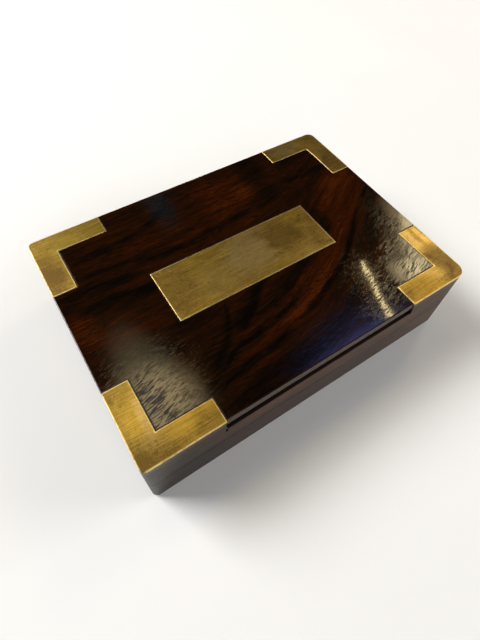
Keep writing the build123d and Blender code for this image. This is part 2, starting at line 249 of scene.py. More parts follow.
def wood_finish(w, u, v, z, tone, palette, rough=0.10, edge=None, spec=0.5, relief=1.0,
                fleck=1.0, tint_and_shade=None, lie=None, grime=None, open_pores=None, dull_and_shaded=None,
                handled=None):
    """Grain and fibres along u, on top of a slow tone from 0 to 1.  The pores
    lie along u as well, or where "lie" says; grime fills corners and seams."""
    pv = v if lie is None else lie
    # fibres at three sizes
    f0 = w.noise(w.vec(w.mul(u, 0.085), w.mul(v, 0.95), w.mul(z, 0.95)), 1, 4, 0.62)
    f1 = w.noise(w.vec(w.mul(u, 0.20), w.mul(v, 2.1), w.mul(z, 2.1)), 1, 3, 0.6)
    f2 = w.noise(w.vec(w.mul(u, 0.42), w.mul(pv, 5.2), w.mul(z, 5.2)), 1, 2, 0.6)
    t = w.mad(w.sub(f0, 0.5), 0.92, tone)
    t = w.mad(w.sub(f1, 0.5), 0.62, t)
    t = w.mad(w.sub(f2, 0.5), 0.42, t)
    # pores: short dark dashes along the grain, in uneven drifts
    p1 = w.noise(w.vec(w.mul(u, 0.33), w.mul(pv, 2.7), w.mul(z, 2.7)), 1, 2, 0.5, 0.15)
    drift = w.noise(w.vec(w.mul(u, 0.06), w.mul(pv, 0.22), w.mul(z, 0.22)), 1, 2)
    cut = w.mad(drift, -0.20, 0.662)
    if open_pores is not None:
        cut = w.mad(open_pores, -0.062, cut)
    pore = w.m("MULTIPLY", w.sub(p1, cut), 13.0, clamp=True)
    colour = w.ramp(t, palette)
    # a colour multiplier, used for painted shade with a greenish colour shift
    if tint_and_shade is not None:
        colour = w.mix(tint_and_shade[0], colour, tint_and_shade[1], "MULTIPLY")
    colour = w.mix(w.mul(pore, 0.75 * fleck), colour, (0.0018, 0.0010, 0.0007))
    if edge is not None:
        worn = w.mul(edge, w.remap(f1, 0.38, 0.62, 0.25, 1.0))
        colour = w.mix(w.mul(worn, 0.75), colour, (0.062, 0.027, 0.007))
    r = w.mad(f0, 0.035, rough - 0.018)
    r = w.mad(pore, 0.05, r)
    if grime is not None:
        colour = w.mix(w.mul(grime, 0.9), colour, (0.0022, 0.0016, 0.0012))
        r = w.mad(grime, 0.45, r)
    if handled is not None:
        own = w.mix(w.remap(f1, 0.35, 0.65), (0.026, 0.0098, 0.0036), (0.056, 0.0220, 0.0080))
        colour = w.mix(w.mul(handled, 0.85), colour, own)
        r = w.mad(handled, 0.38, r)
    # painted shade: the colour is darkened where this mask is set, and the roughness raised
    if dull_and_shaded is not None:
        colour = w.mix(dull_and_shaded, colour, (0.0085, 0.0035, 0.0015))
        r = w.mad(dull_and_shaded, 0.45, r)
    slow = w.noise(w.vec(w.mul(u, 0.020), w.mul(v, 0.050), w.mul(z, 0.050)), 1, 2)
    mid = w.noise(w.vec(w.mul(u, 0.16), w.mul(pv, 0.95), w.mul(z, 0.95)), 1, 2, 0.5)
    h = w.mad(f1, 0.5, w.mul(f2, 0.35))
    n0 = w.bump(slow, 0.5 * relief, 0.12)
    n1 = w.bump(mid, 0.5 * relief, 0.008, n0)
    n2 = w.bump(h, 0.5 * relief, 0.0045, n1)
    deep = 0.3 if open_pores is None else w.mad(open_pores, 0.75, 0.12)
    if open_pores is not None:
        r = w.mad(w.mul(pore, open_pores), 0.40, r)
    n2 = w.bump(w.mul(w.mul(pore, -1.0), deep), 0.6 * relief, 0.034, n2)
    b = w.principled(Base_Color=colour, Roughness=r, Normal=n2, IOR=1.5)
    b.inputs["Specular IOR Level"].default_value = spec
    return b


def lid_top_wood():
    w = Net("rosewood_lid_top")
    P, x, y, z = w.place()
    # The figure runs along the box at the left and sweeps up to the right
    # below the plaque: "rise" is how far a growth line has climbed at x.
    xs = w.mad(x, 1 / 160, 0.5)
    climb = [(-80, 0), (-46, 0.5), (-20, 2.2), (0, 5.4), (12, 9.0), (24, 14.5),
             (36, 20.5), (46, 27.5), (60, 38.0), (80, 53.0)]
    rise = w.mul(w.curve(xs, [(a / 160 + 0.5, b / 60) for a, b in climb]), 60.0)
    hold = w.remap(w.mad(x, -0.50, y), -34.0, 24.0, 1.0, 0.30)
    g = w.sub(y, w.mul(rise, hold))
    wob = w.noise(w.vec(w.mul(x, 0.020), w.mul(y, 0.045), 3.7), 1, 3, 0.5)
    g = w.mad(w.sub(wob, 0.5), 7.0, g)
    wob2 = w.noise(w.vec(w.mul(x, 0.09), w.mul(y, 0.22), 9.1), 1, 2, 0.5)
    g = w.mad(w.sub(wob2, 0.5), 2.0, g)
    # slow tone: bands across the growth lines
    b1 = w.noise(w.vec(w.mul(x, 0.012), w.mul(g, 0.105), 5.3), 1, 3, 0.55)
    b2 = w.noise(w.vec(w.mul(x, 0.026), w.mul(g, 0.31), 1.9), 1, 4, 0.6)
    tone = w.mad(w.sub(b1, 0.5), 0.70, 0.50)
    tone = w.mad(w.sub(b2, 0.5), 0.85, tone)
    # broad light and dark patches of this board
    lights = [
        (10, 34, 20, 14, 30, 0.20), (58, 6, 26, 17, 35, 0.24), (20, -22, 34, 7, 27, 0.26),
        (-6, -35, 34, 3.6, 12, 0.18), (-72, 3, 9, 11, 0, 0.34), (-14, -17, 12, 4, 40, 0.16),
        (66, 20, 16, 7, 0, 0.18), (-35, 30, 34, 4, 0, 0.10), (-50, 46, 26, 4, 0, 0.06),
        (6, 50, 16, 9, 60, 0.12), (-30, -45, 26, 3.0, 14, 0.10), (-20, 24, 30, 3.0, 0, 0.10),
        (73, -5, 6, 12, 0, 0.12), (-60, -3, 15, 9, 0, 0.14), (24, 37, 15, 11, 60, 0.10),
        (62, 15, 18, 8, 30, 0.05), (14, -27, 26, 3.2, 27, 0.12), (-52, 45, 12, 4, 0, 0.10),
        (-28, 29, 20, 2.4, -4, 0.06), (44, -6, 12, 6, 40, 0.10),
    ]
    darks = [
        (31, 44, 9, 17, -12, 0.26), (41, 3, 5, 11, 0, 0.22), (-38, -32, 13, 4.5, 42, 0.10),
        (-14, -20, 16, 4.5, 36, 0.28), (-24, -50, 32, 6, 6, 0.32), (-56, 9, 24, 5, -6, 0.24),
        (-58, 17, 26, 2.4, -6, 0.20), (20, -47, 42, 8, 4, 0.24), (-18, 43, 7, 10, 0, 0.26),
        (60, -13, 28, 4, 42, 0.22), (72, 3, 12, 4, 40, 0.16), (52, 44, 16, 5, 0, 0.20),
        (-35, -14, 14, 5, 0, 0.16), (28, 26, 12, 8, 40, 0.14), (-55, -20, 14, 16, 0, 0.10),
    ]
    for cx, cy, rx, ry, a, k in lights:
        tone = w.mad(w.blob(x, y, cx, cy, rx, ry, a), k, tone)
    for cx, cy, rx, ry, a, k in darks:
        tone = w.mad(w.blob(x, y, cx, cy, rx, ry, a), -1.1 * k, tone)
    # near black veins, each a line y = c(x) with its own width
    veins = [
        ([(-66, 25.6), (-52, 25), (-42, 24), (-32, 21.4), (-14, 20.8), (0, 21.6), (12, 22.6),
          (30, 24.0)], 1.1, 0.26, (-64, 16)),
        ([(-68, 35.4), (-52, 35.4), (-38, 36), (-28, 38.4), (-20, 42.5), (-14, 49), (-10, 56)],
         1.2, 0.32, (-66, -12)),
        ([(-46, -41.5), (-36, -38.2), (-27, -33.4), (-16, -31.8), (-4, -29.6), (6, -26), (16, -20.8),
          (27, -15), (36, -8)], 0.8, 0.34, (-46, 30)),
        ([(-46, -44.6), (-30, -41), (-14, -38.8), (-2, -36.6), (10, -32.6), (22, -28.4), (35, -22),
          (46, -13.6), (56, -5), (66, 2), (76, 9.5)], 0.95, 0.42, (-44, 77)),
        ([(-40, -37.5), (-32, -31.6), (-26, -25.6), (-22, -19), (-20, -12)], 1.6, 0.30, (-40, -20)),
        ([(-20, -27), (-12, -21), (-5, -15.6), (0, -11)], 1.4, 0.30, (-21, 0)),
        ([(38, -12), (46, -17.5), (54, -13), (64, -4), (76, 4)], 1.5, 0.22, (44, 76)),
        ([(42, 31), (52, 29.6), (60, 30.6), (68, 30)], 1.2, 0.30, (40, 68)),
        ([(-76, 15), (-66, 14.4), (-54, 12), (-45, 8.6), (-38, 8)], 1.4, 0.30, (-77, -38)),
        ([(-76, 20.4), (-64, 19.6), (-52, 18.6), (-40, 17.6)], 0.8, 0.30, (-77, -41)),
        ([(-12, -51.5), (6, -47), (22, -40), (34, -33.6), (44, -27)], 1.2, 0.24, (-14, 44)),
        ([(4, -20), (12, -16.6), (22, -12.4)], 0.8, 0.24, (2, 24)),
    ]
    soft = w.noise(w.vec(w.mul(x, 0.08), w.mul(y, 0.34), 2.2), 1, 4, 0.62)
    torn = w.mul(w.sub(soft, 0.5), 4.0)
    yy = w.add(y, torn)
    gaps = w.noise(w.vec(w.mul(x, 0.07), w.mul(y, 0.12), 7.7), 1, 3, 0.6)
    for pts, half, k, (xa, xb) in veins:
        cy = w.mad(w.curve(xs, [(a / 160 + 0.5, b / 160 + 0.5) for a, b in pts]), 160.0, -80.0)
        d = w.absv(w.sub(yy, cy))
        line = w.remap(d, half * 2.4, 0.0)
        ends = w.mul(w.remap(x, xa - 3.0, xa + 5.0), w.remap(x, xb + 3.0, xb - 5.0))
        line = w.mul(w.mul(line, ends), w.remap(gaps, 0.32, 0.54, 0.25, 1.0))
        tone = w.mad(line, -1.35 * k, tone)
    edge = w.mx(w.remap(w.absv(x), 75.2, 76.0), w.remap(w.absv(y), 53.4, 54.4))
    # the pores lie flatter than the figure
    lean = [(-80, 0), (-50, 7.5), (-20, 10.5), (0, 12.5), (40, 17.5), (60, 24.0), (80, 34.0)]
    tilt = w.mul(w.curve(xs, [(a / 160 + 0.5, b / 60) for a, b in lean]), 60.0)
    lie = w.sub(y, w.mul(tilt, w.remap(y, 20.0, -20.0, 0.25, 1.0)))
    lie = w.mad(w.sub(wob, 0.5), 5.0, lie)
    # dark wax and dirt along the inlays
    ax, ay = w.absv(x), w.absv(y)
    def seam(v, at, wide=0.42):
        return w.remap(w.absv(w.sub(v, at)), wide, wide * 0.35)
    g1 = w.mul(seam(ax, 66.0 - 0.15), w.m("LESS_THAN", ay, 44.9))
    g1 = w.mul(g1, w.m("GREATER_THAN", ay, 23.2))
    g2 = w.mul(seam(ay, 44.5 - 0.05), w.m("LESS_THAN", ax, 66.2))
    g2 = w.mul(g2, w.m("GREATER_THAN", ax, 44.5))
    g3 = w.mul(seam(ay, 23.2 - 0.15), w.m("GREATER_THAN", ax, 66.0))
    g4 = w.mul(seam(ax, 44.5 - 0.15), w.m("GREATER_THAN", ay, 44.6))
    dx = w.sub(w.absv(w.add(x, 0.4)), 38.6)
    dy = w.sub(w.absv(w.sub(y, 0.8)), 13.0)
    g5 = w.remap(w.absv(w.sub(w.mx(dx, dy), 0.1)), 0.42, 0.12)
    grime = w.mx(w.mx(g1, g2), w.mx(w.mx(g3, g4), g5))
    crumb = w.noise(P, 0.9, 3, 0.6)
    grime = w.mul(grime, w.remap(crumb, 0.30, 0.55, 0.35, 1.0))
    worn_in = w.mx(w.blob(x, y, -63.5, -38, 10, 15, 0), w.mul(w.blob(x, y, -60, -28, 8, 7, 0), 0.6))
    worn_in = w.mx(worn_in, w.mul(w.blob(x, y, -59, -31, 20, 24, 0), 0.34))
    worn_in = w.mx(worn_in, w.mul(w.blob(x, y, 58, -36, 15, 14, 0), 0.65))
    worn_in = w.mx(worn_in, w.mul(w.blob(x, y, 35, -42, 7, 15, -20), 0.35))
    side = w.remap(z, 37.72, 37.50)
    wood_finish(w, x, g, z, tone, ROSEWOOD, rough=0.050, edge=edge, lie=lie, grime=grime,
                open_pores=worn_in, handled=side)
    return w.mat


def board_wood(name, along, offset, lift=0.0, palette=WALL, rough=0.38, scale=1.0,
               edges=None, spec=0.18, dashes=(), front=False, relief=1.0):
    """A board with its grain along X or Y, cut from its own part of the log."""
    w = Net(name)
    P, x, y, z = w.place()
    u, v, q = (x, y, z) if along == "x" else (y, x, z)
    u, v, q = w.add(u, offset), w.add(v, offset * 0.37), w.add(q, offset * 0.11)
    wob = w.noise(w.vec(w.mul(u, 0.017), w.mul(v, 0.05), w.mul(q, 0.05)), 1, 3)
    k = w.mul(w.sub(wob, 0.5), 6.0)
    v2, q2 = w.add(v, k), w.add(q, w.mul(k, 0.6))
    b1 = w.noise(w.vec(w.mul(u, 0.009 * scale), w.mul(v2, 0.11 * scale), w.mul(q2, 0.11 * scale)), 1, 3, 0.55)
    b2 = w.noise(w.vec(w.mul(u, 0.018 * scale), w.mul(v2, 0.34 * scale), w.mul(q2, 0.34 * scale)), 1, 4, 0.6)
    tone = w.mad(w.sub(b1, 0.5), 1.0, 0.50 + lift)
    tone = w.mad(w.sub(b2, 0.5), 0.9, tone)
    # single dark streaks: (start, end, height, half width, strength)
    for a, b, h, half, s in dashes:
        far = w.mul(w.remap(u, offset + a - 2, offset + a + 4), w.remap(u, offset + b + 2, offset + b - 6))
        d = w.absv(w.sub(w.mad(w.sub(wob, 0.5), 2.0, z), h))
        tone = w.mad(w.mul(far, w.remap(d, half * 2.0, half * 0.2)), -s, tone)
    e = None
    for s, lo, hi in edges or ():
        r = w.remap({"x": x, "y": y, "z": z}[s], lo, hi)
        e = r if e is None else w.mx(e, r)
    tint_and_shade = dull_and_shaded = None
    # painted shade with a greenish colour shift: the left end of the front walls and the front part of the left walls
    # are darkened
    if front or (name.endswith("_left") and palette is WALL):
        left = w.remap(w.mad(w.sub(b1, 0.5), 30.0, x), -36.0, -66.0)
        left = w.mul(left, w.remap(y, -30.0, -54.0))
        tint_and_shade = (left, (0.48, 0.72, 0.74))
    # painted shade in the finger channel and on all faces of the front walls set back from the front face below the lip
    if front:
        dull_and_shaded = w.mul(w.remap(z, 33.8, 33.4), w.remap(y, -54.38, -54.1))
    wood_finish(w, u, v2, q2, tone, palette, rough=rough, edge=e, spec=spec, relief=relief,
                fleck=0.6, tint_and_shade=tint_and_shade, dull_and_shaded=dull_and_shaded)
    return w.mat


# --------------------------------------------------------------------------
# Metals
# --------------------------------------------------------------------------
def brass(name, outline, stains=(), pale_and_highlight=(), base=(0.47, 0.310, 0.045), rough=0.34, marks=(),
          along="x"):
    """Brushed old brass.  outline(w, x, y) is 1 along the piece's edges, where a highlight is painted in."""
    w = Net(name)
    P, x, y, z = w.place()
    a, c = (x, y) if along == "x" else (y, x)
    wander = w.mul(w.sub(w.noise(P, 0.05, 2), 0.5), 1.6)
    cc = w.add(c, wander)
    fine = w.noise(w.vec(w.mul(a, 0.10), w.mul(cc, 4.4), w.mul(z, 4.4)), 1, 4, 0.75)
    mid = w.noise(w.vec(w.mul(a, 0.055), w.mul(cc, 1.5), w.mul(z, 1.5)), 1, 4, 0.65)
    # a few scratches across the brushing
    sx = w.noise(w.vec(w.mad(x, 2.6, w.mul(y, 1.9)), w.mad(y, 0.16, w.mul(x, -0.21)), 4.4), 1, 2, 0.5)
    nick = w.remap(sx, 0.68, 0.76)
    cloud = w.noise(P, 0.085, 5, 0.62, 0.4)
    spots = w.noise(P, 0.62, 4, 0.65)
    grit = w.noise(P, 2.2, 3, 0.7)
    tarn = w.remap(cloud, 0.44, 0.72, 0.05, 0.55)
    for cx, cy, rx, ry, ang, k in stains:
        hit = w.blob(w.mad(w.sub(cloud, 0.5), 9.0, x), w.mad(w.sub(spots, 0.5), 5.0, y), cx, cy, rx, ry, ang)
        tarn = w.mad(hit, k, tarn)
    tarn = w.mad(w.remap(spots, 0.54, 0.72), 0.38, tarn)
    tarn = w.mad(w.sub(grit, 0.5), 1.0, tarn)
    tarn = w.mad(w.sub(mid, 0.5), -0.65, tarn)
    tarn = w.mad(w.sub(fine, 0.5), -0.45, tarn)
    light = w.mix(w.remap(mid, 0.30, 0.70), tuple(k * 0.60 for k in base), base)
    light = w.mix(w.remap(fine, 0.38, 0.66), light, (base[0] * 1.30, base[1] * 1.32, base[2] * 1.8))
    # paler patches: on the front corner plates these are painted highlights, elsewhere paler brass
    for cx, cy, rx, ry, ang, k in pale_and_highlight:
        light = w.mix(w.mul(w.blob(x, y, cx, cy, rx, ry, ang), k), light, (0.62, 0.46, 0.19))
    # painted highlight along the piece's edges: less tarnish and a bright brass colour there
    rim = outline(w, x, y)
    edge_highlight = w.mul(rim, w.remap(spots, 0.30, 0.55, 0.35, 1.0))
    tarn = w.mad(edge_highlight, -0.55, tarn)
    colour = w.mix(w.m("MULTIPLY", tarn, 0.9, clamp=True), light, (0.150, 0.090, 0.022))
    colour = w.mix(w.mul(edge_highlight, 0.75), colour, (0.95, 0.74, 0.32))
    colour = w.mix(w.mul(nick, 0.35), colour, (0.90, 0.66, 0.24))
    dots = None
    for cx, cy, r in marks:
        d = w.blob(x, y, cx, cy, r, r)
        dots = d if dots is None else w.mx(dots, d)
    if dots is not None:
        colour = w.mix(w.mul(dots, 0.45), colour, (0.13, 0.080, 0.030))
    r = w.mad(w.remap(mid, 0.3, 0.7), 0.08, rough - 0.02)
    r = w.mad(tarn, 0.12, r)
    r = w.mad(edge_highlight, 0.10, r)
    h = w.mad(nick, -0.7, w.add(w.mul(fine, 0.9), w.mul(mid, 0.8)))
    if dots is not None:
        h = w.mad(dots, -2.0, h)
    slow = w.noise(P, 0.055, 2)
    n0 = w.bump(slow, 0.6, 0.22)
    n1 = w.bump(h, 0.6, 0.018, n0)
    w.principled(Base_Color=colour, Roughness=r, Normal=n1, Metallic=1.0)
    return w.mat


def plate_outline(sx, sy, inner_x=44.5, inner_y=23.2, arm_x=66.1, arm_y=44.6, wide=0.55):
    """Edges of an L-shaped corner plate, from its outline in the row frame."""
    def f(w, x, y):
        X, Y = w.mul(x, sx), w.mul(y, sy)
        def near(v, at):
            return w.remap(w.absv(w.sub(v, at)), wide, wide * 0.25)
        on_x = w.m("GREATER_THAN", Y, arm_y - wide)
        on_y = w.m("GREATER_THAN", X, arm_x - wide)
        m = w.mx(near(X, 76.0), near(Y, 54.5))
        m = w.mx(m, w.mul(near(X, inner_x), on_x))
        m = w.mx(m, w.mul(near(Y, inner_y), on_y))
        m = w.mx(m, w.mul(near(X, arm_x), w.m("LESS_THAN", Y, arm_y + wide)))
        m = w.mx(m, w.mul(near(Y, arm_y), w.m("LESS_THAN", X, arm_x + wide)))
        return m
    return f


def plaque_outline(w, x, y, cx=-0.4, cy=0.8, hx=38.6, hy=13.0, wide=0.55):
    dx = w.sub(hx, w.absv(w.sub(x, cx)))
    dy = w.sub(hy, w.absv(w.sub(y, cy)))
    return w.remap(w.mn(dx, dy), wide, wide * 0.25)


def no_outline(w, x, y):
    return 0.0


def plain_metal(name, base, rough, streak):
    w = Net(name)
    P, x, y, z = w.place()
    f = w.noise(w.vec(w.mul(x, streak), w.mul(y, 4.0), w.mul(z, 4.0)), 1, 4, 0.65)
    c = w.noise(P, 0.5, 4, 0.6)
    colour = w.mix(w.remap(c, 0.42, 0.70, 0.0, 0.65), base, tuple(k * 0.38 for k in base))
    b = w.principled(Base_Color=colour, Roughness=w.mad(f, 0.22, rough - 0.1), Metallic=1.0,
                     Normal=w.bump(f, 0.4, 0.02))
    return w.mat


# --------------------------------------------------------------------------
# Felt
# --------------------------------------------------------------------------
def felt(name, dark, light, worn):
    w = Net(name)
    P, x, y, z = w.place()
    hair = w.noise(P, 2.6, 5, 0.75, 1.2)
    tuft = w.noise(P, 0.55, 4, 0.6, 0.4)
    rub = w.noise(P, 0.045, 4, 0.6)
    colour = w.mix(w.remap(hair, 0.32, 0.68), dark, light)
    colour = w.mix(w.remap(tuft, 0.55, 0.80, 0.0, 0.35), colour, tuple(k * 0.55 for k in dark))
    colour = w.mix(w.remap(rub, 0.50, 0.72, 0.0, 0.45), colour, worn)
    h = w.add(hair, w.mul(tuft, 0.8))
    b = w.principled(Base_Color=colour, Roughness=0.95, Normal=w.bump(h, 0.9, 0.22))
    b.inputs["Specular IOR Level"].default_value = 0.15
    b.inputs["Sheen Weight"].default_value = 0.35
    b.inputs["Sheen Roughness"].default_value = 0.6
    return w.mat


def assign(node, material):
    o = nodes[node]
    if not o.data.materials:
        o.data.materials.append(material)
    for i in range(len(o.data.materials)):
        o.data.materials[i] = material


FRONT_STREAKS = [(-76, -58, 18.9, 0.35, 0.45), (-66, -44, 18.0, 0.5, 0.30), (-68, -50, 10.0, 0.5, 0.25),
                 (-50, 10, 17.2, 0.4, 0.12), (20, 60, 12.5, 0.5, 0.12), (-30, 40, 6.0, 0.6, 0.12)]
LOW = ("z", 2.2, 0.8)
assign("lid_top_board", lid_top_wood())
assign("lid_front_wall", board_wood("rosewood_lid_front", "x", 11.0, 0.06, front=True,
       dashes=FRONT_STREAKS))
assign("lid_back_wall", board_wood("rosewood_lid_back", "x", 57.0, 0.0))
assign("lid_left_wall", board_wood("rosewood_lid_left", "y", 131.0, 0.0))
assign("lid_right_wall", board_wood("rosewood_lid_right", "y", 203.0, 0.03))
assign("base_front_wall", board_wood("rosewood_base_front", "x", 11.0, 0.06, front=True,
       dashes=FRONT_STREAKS, edges=[LOW]))
assign("base_back_wall", board_wood("rosewood_base_back", "x", 57.0, 0.0, edges=[LOW]))
assign("base_left_wall", board_wood("rosewood_base_left", "y", 131.0, 0.0, edges=[LOW]))
assign("base_right_wall", board_wood("rosewood_base_right", "y", 203.0, 0.03, edges=[LOW]))
assign("base_bottom_board", board_wood("rosewood_bottom", "x", 311.0, 0.0, rough=0.4))
for i, n in enumerate(("liner_front", "liner_back")):
    assign(n, board_wood("mahogany_" + n, "x", 401.0 + 53 * i, 0.05, MAHOGANY, 0.38))
for i, n in enumerate(("liner_left", "liner_right", "card_divider")):
    assign(n, board_wood("mahogany_" + n, "y", 523.0 + 61 * i, 0.05, MAHOGANY, 0.38))

assign("corner_plate_front_left", brass("brass_front_left", plate_outline(-1, -1),
       stains=[(-79, -58, 26, 19, 0, 1.0), (-46, -53, 10, 8, 0, 0.45), (-73, -23, 10, 10, 0, 0.6),
               (-77, -36, 4, 16, 0, 0.4), (-58, -53.5, 12, 3.5, 0, 0.25)],
       # these pale patches are painted highlights along the inner arm and the elbow
       pale_and_highlight=[(-67.5, -38, 2.4, 12, 0, 0.45), (-69, -47, 7, 5, 0, 0.2)]))
assign("corner_plate_front_right", brass("brass_front_right", plate_outline(1, -1),
       stains=[(78, -57, 18, 13, 0, 0.6), (71, -43, 9, 11, 0, 0.75), (54, -51, 16, 8, 0, 0.40),
               (76.5, -33, 2.0, 14, 0, 0.8), (71.4, -28, 1.2, 9, 0, 0.25)],
       # these pale patches are painted highlights on the arm
       pale_and_highlight=[(69, -28, 3.5, 7, 0, 0.75), (74, -27, 2.2, 6, 0, 0.7), (70, -42, 16, 16, 0, 0.5)]))
assign("corner_plate_back_left", brass("brass_back_left", plate_outline(-1, 1),
       stains=[(-76, 56, 12, 8, 0, 0.5), (-75, 33, 12, 20, 0, 1.0)], marks=[(-72.6, 51.6, 0.5)]))
assign("corner_plate_back_right", brass("brass_back_right", plate_outline(1, 1),
       stains=[(76, 54, 14, 10, 0, 0.5), (73, 32, 9, 16, 0, 0.95)], pale_and_highlight=[(56, 50, 12, 6, 0, 0.55)]))
assign("name_plaque", brass("brass_plaque", plaque_outline,
       stains=[(-34, 3, 14, 18, 0, 0.75), (34, -2, 12, 16, 0, 0.6), (-37, -9, 8, 6, 0, 0.2),
               (19, 3, 12, 14, 0, 0.95)],
       pale_and_highlight=[(4, 3, 17, 14, 0, 0.75), (26, -8, 16, 7, 0, 0.15), (-14, -3, 20, 12, 0, 0.25)],
       marks=[(-26.8, 3.8, 0.7), (2.6, 9.6, 0.5), (33.4, -0.6, 0.6)]))
for n in ("corner_plate_pins", "plaque_pins"):
    assign(n, brass("brass_" + n, no_outline, stains=[
        (-79, -58, 26, 19, 0, 1.0), (-46, -53, 10, 8, 0, 0.45), (-73, -23, 10, 10, 0, 0.6),
        (78, -57, 18, 13, 0, 0.6), (71, -43, 9, 11, 0, 0.75), (54, -51, 16, 8, 0, 0.40), (-75, 33, 12, 20, 0, 1.0),
        (73, 32, 9, 16, 0, 0.95), (-34, 3, 14, 18, 0, 0.75), (34, -2, 12, 16, 0, 0.6)]))
hinge_mat = plain_metal("brass_hinge", (0.72, 0.45, 0.13), 0.34, 0.15)
for side in ("left", "right"):
    for owner in ("base", "lid"):
        assign(f"hinge_{side}_{owner}_leaf", hinge_mat)
    assign(f"hinge_{side}_pin", plain_metal("steel_pin_" + side, (0.48, 0.46, 0.43), 0.35, 0.2))
screw_mat = plain_metal("brass_screw", (0.66, 0.41, 0.12), 0.36, 2.0)
for owner in ("base", "lid"):
    assign("hinge_screws_" + owner, screw_mat)

# --------------------------------------------------------------------------
# Felt pieces, built as laid cloth a little uneven on top
# --------------------------------------------------------------------------
def laid_felt(name, node, body, material, up=True, radius=(1.2,) * 4, cell=1.6,
              inset=0.05):
    lo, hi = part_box(node)
    x0, x1, y0, y1 = (k / MM for k in (lo.x, hi.x, lo.y, hi.y))
    x0, x1, y0, y1 = x0 + inset, x1 - inset, y0 + inset, y1 - inset
    z0, z1 = lo.z / MM, hi.z / MM
    nx, ny = int((x1 - x0) / cell), int((y1 - y0) / cell)
    cx, cy = (x0 + x1) / 2, (y0 + y1) / 2

    def round_corner(x, y):
        """Pulls a point of the full rectangle in to its rounded corners."""
        for sx, sy, r in ((-1, -1, radius[0]), (1, -1, radius[1]), (-1, 1, radius[2]), (1, 1, radius[3])):
            px = (x1 if sx > 0 else x0) - sx * r
            py = (y1 if sy > 0 else y0) - sy * r
            dx, dy = (x - px) * sx, (y - py) * sy
            if dx > 0 and dy > 0:
                m = max(dx, dy)
                d = math.hypot(dx, dy)
                return px + sx * dx * m / d, py + sy * dy * m / d
        return x, y

    bm = bmesh.new()
    face_z, back_z = (z1, z0) if up else (z0, z1)
    sign = 1 if up else -1
    layers = []
    for layer in (0, 1):
        rows = []
        for j in range(ny + 1):
            row = []
            for i in range(nx + 1):
                x, y = x0 + (x1 - x0) * i / nx, y0 + (y1 - y0) * j / ny
                x, y = round_corner(x, y)
                edge = min(i, nx - i, j, ny - j)
                if layer == 0:
                    drop = {0: 0.34, 1: 0.05}.get(edge, 0.0)
                    wave = 0.05 * (math.sin(x * 0.21 + y * 0.13) * math.sin(y * 0.17 - x * 0.05))
                    z = face_z - sign * (drop + 0.05 + wave + random.uniform(0, 0.03))
                else:
                    z = back_z
                row.append(bm.verts.new((x * MM, y * MM, z * MM)))
            rows.append(row)
        layers.append(rows)
    for layer, rows in enumerate(layers):
        for j in range(ny):
            for i in range(nx):
                q = [rows[j][i], rows[j][i + 1], rows[j + 1][i + 1], rows[j + 1][i]]
                if (layer == 0) != up:
                    q.reverse()
                bm.faces.new(q)
    top, bot = layers
    ring = [(i, 0) for i in range(nx)] + [(nx, j) for j in range(ny)]
    ring += [(i, ny) for i in range(nx, 0, -1)] + [(0, j) for j in range(ny, 0, -1)]
    for k, (i, j) in enumerate(ring):
        a, b = ring[(k + 1) % len(ring)]
        q = [top[j][i], bot[j][i], bot[b][a], top[b][a]]
        if not up:
            q.reverse()
        bm.faces.new(q)
    bmesh.ops.recalc_face_normals(bm, faces=bm.faces)
    me = bpy.data.meshes.new(name)
    bm.to_mesh(me)
    bm.free()
    for p in me.polygons:
        p.use_smooth = True
    ob = bpy.data.objects.new(name, me)
    bpy.context.scene.collection.objects.link(ob)
    me.materials.append(material)
    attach(ob, body)
    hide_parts(node)
    return ob


GREEN = felt("felt_green", (0.006, 0.030, 0.013), (0.020, 0.075, 0.034), (0.040, 0.085, 0.045))
BAIZE = felt("felt_baize", (0.005, 0.022, 0.011), (0.015, 0.052, 0.027), (0.045, 0.060, 0.040))
laid_felt("felt_well_left", "well_felt_left", "base", GREEN)
laid_felt("felt_well_right", "well_felt_right", "base", GREEN)
laid_felt("felt_lid_lining", "lid_lining", "lid", GREEN, up=False)
laid_felt("felt_underside", "underside_baize", "base", BAIZE, up=False,
          radius=(1.0, 3.6, 1.4, 2.2), cell=2.0)

# --------------------------------------------------------------------------
# Floor, camera and light
# --------------------------------------------------------------------------
bm = bmesh.new()
bmesh.ops.create_grid(bm, x_segments=8, y_segments=8, size=3.0)
me = bpy.data.meshes.new("floor")
bm.to_mesh(me)
bm.free()
floor = bpy.data.objects.new("floor", me)
bpy.context.scene.collection.objects.link(floor)
floor.location = (0, 0, cad_lo.z - 0.00005)
w = Net("floor_pale")
P, x, y, z = w.place()
w.principled(Base_Color=w.mix(w.noise(P, 0.01, 3), (0.86, 0.86, 0.86), (0.90, 0.90, 0.90)), Roughness=0.9)
me.materials.append(w.mat)

az, el, roll = math.radians(-36.8986), math.radians(54.9106), math.radians(4.4893)
L_MM, H_MM = 152.0, 38.0
dist = 1.2056 * L_MM
target = Vector((-0.0626 * L_MM, -0.0727 * L_MM, H_MM))
back = Vector((math.sin(az) * math.cos(el), -math.cos(az) * math.cos(el), math.sin(el)))
right = Vector((0, 0, 1)).cross(back).normalized()
up = back.cross(right)
rr = math.cos(roll) * right + math.sin(roll) * up
uu = -math.sin(roll) * right + math.cos(roll) * up
cam_data = bpy.data.cameras.new("camera")
cam = bpy.data.objects.new("camera", cam_data)
bpy.context.scene.collection.objects.link(cam)
pos = (target + back * dist) * MM
cam.matrix_world = Matrix((
    (rr.x, uu.x, back.x, pos.x),
    (rr.y, uu.y, back.y, pos.y),
    (rr.z, uu.z, back.z, pos.z),
    (0, 0, 0, 1)))
cam_data.sensor_width = 36.0
cam_data.lens = 452.166 / 640 * 36.0
cam_data.shift_x = -(243.653 - 240) / 640
cam_data.shift_y = -(320 - 286.139) / 640
cam_data.clip_start = 0.005
cam_data.clip_end = 50.0
bpy.context.scene.camera = cam

